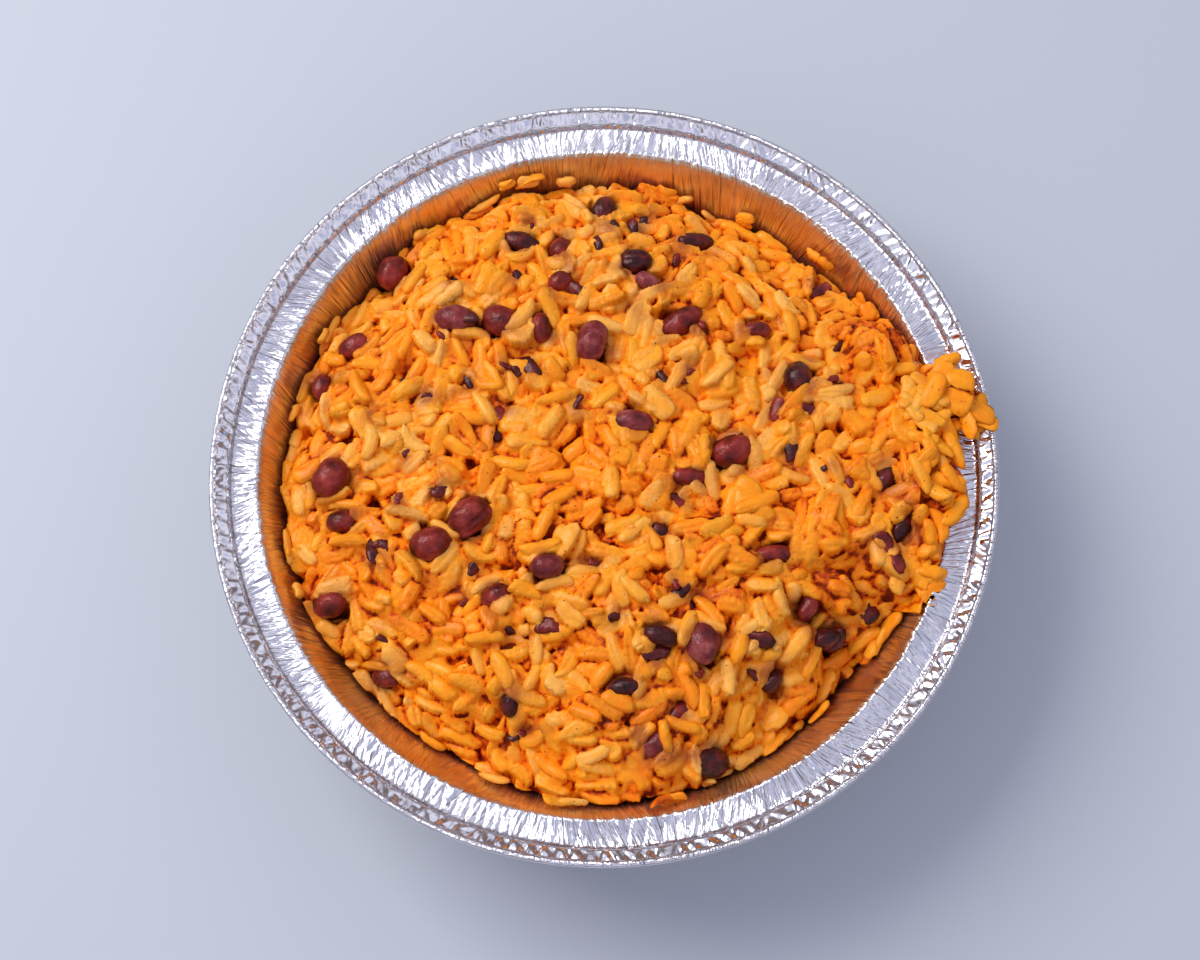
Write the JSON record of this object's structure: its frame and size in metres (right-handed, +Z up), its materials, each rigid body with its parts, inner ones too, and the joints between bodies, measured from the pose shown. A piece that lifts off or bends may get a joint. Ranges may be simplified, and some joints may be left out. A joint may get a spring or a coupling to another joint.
{
  "type": "foil pan of rice and beans",
  "caption": "Round foil take-away pan with a pleated, flared lip, filled with a lumpy heap of orange rice and small red beans that spills over one side of the rim.",
  "frame": {"origin": "centre of the pan's flat base, on the table", "axes": "+Z up out of the pan; +X to the side where rice spills over the rim; +Y the far side"},
  "size_m": [0.1814, 0.1814, 0.0493],
  "materials": {
    "foil": "bright crinkled foil",
    "rice": "moist cooked grains",
    "bean_maroon": "moist skin",
    "bean_purple": "moist skin",
    "bean_dark": "moist skin"
  },
  "bodies": {
    "root": {"pan_foil": "foil", "rice_heap": "rice", "bean_01": "bean_maroon", "bean_02": "bean_maroon", "bean_03": "bean_maroon", "bean_04": "bean_purple", "bean_05": "bean_maroon", "bean_06": "bean_maroon", "bean_07": "bean_dark", "bean_08": "bean_maroon", "bean_09": "bean_maroon", "bean_10": "bean_dark", "bean_11": "bean_purple", "bean_12": "bean_dark", "bean_13": "bean_purple", "bean_14": "bean_dark", "bean_15": "bean_maroon", "bean_16": "bean_maroon", "bean_17": "bean_dark", "bean_18": "bean_maroon", "bean_19": "bean_purple", "bean_20": "bean_maroon", "bean_21": "bean_maroon", "bean_22": "bean_maroon", "bean_23": "bean_maroon", "bean_24": "bean_maroon", "bean_25": "bean_purple", "bean_26": "bean_maroon", "bean_27": "bean_maroon", "bean_28": "bean_maroon", "bean_29": "bean_dark", "bean_30": "bean_dark", "bean_31": "bean_dark", "bean_32": "bean_purple", "bean_33": "bean_dark", "bean_34": "bean_maroon", "bean_35": "bean_maroon", "bean_36": "bean_dark", "bean_37": "bean_dark", "bean_38": "bean_dark", "bean_39": "bean_purple", "bean_40": "bean_dark"}
  },
  "joints": []
}
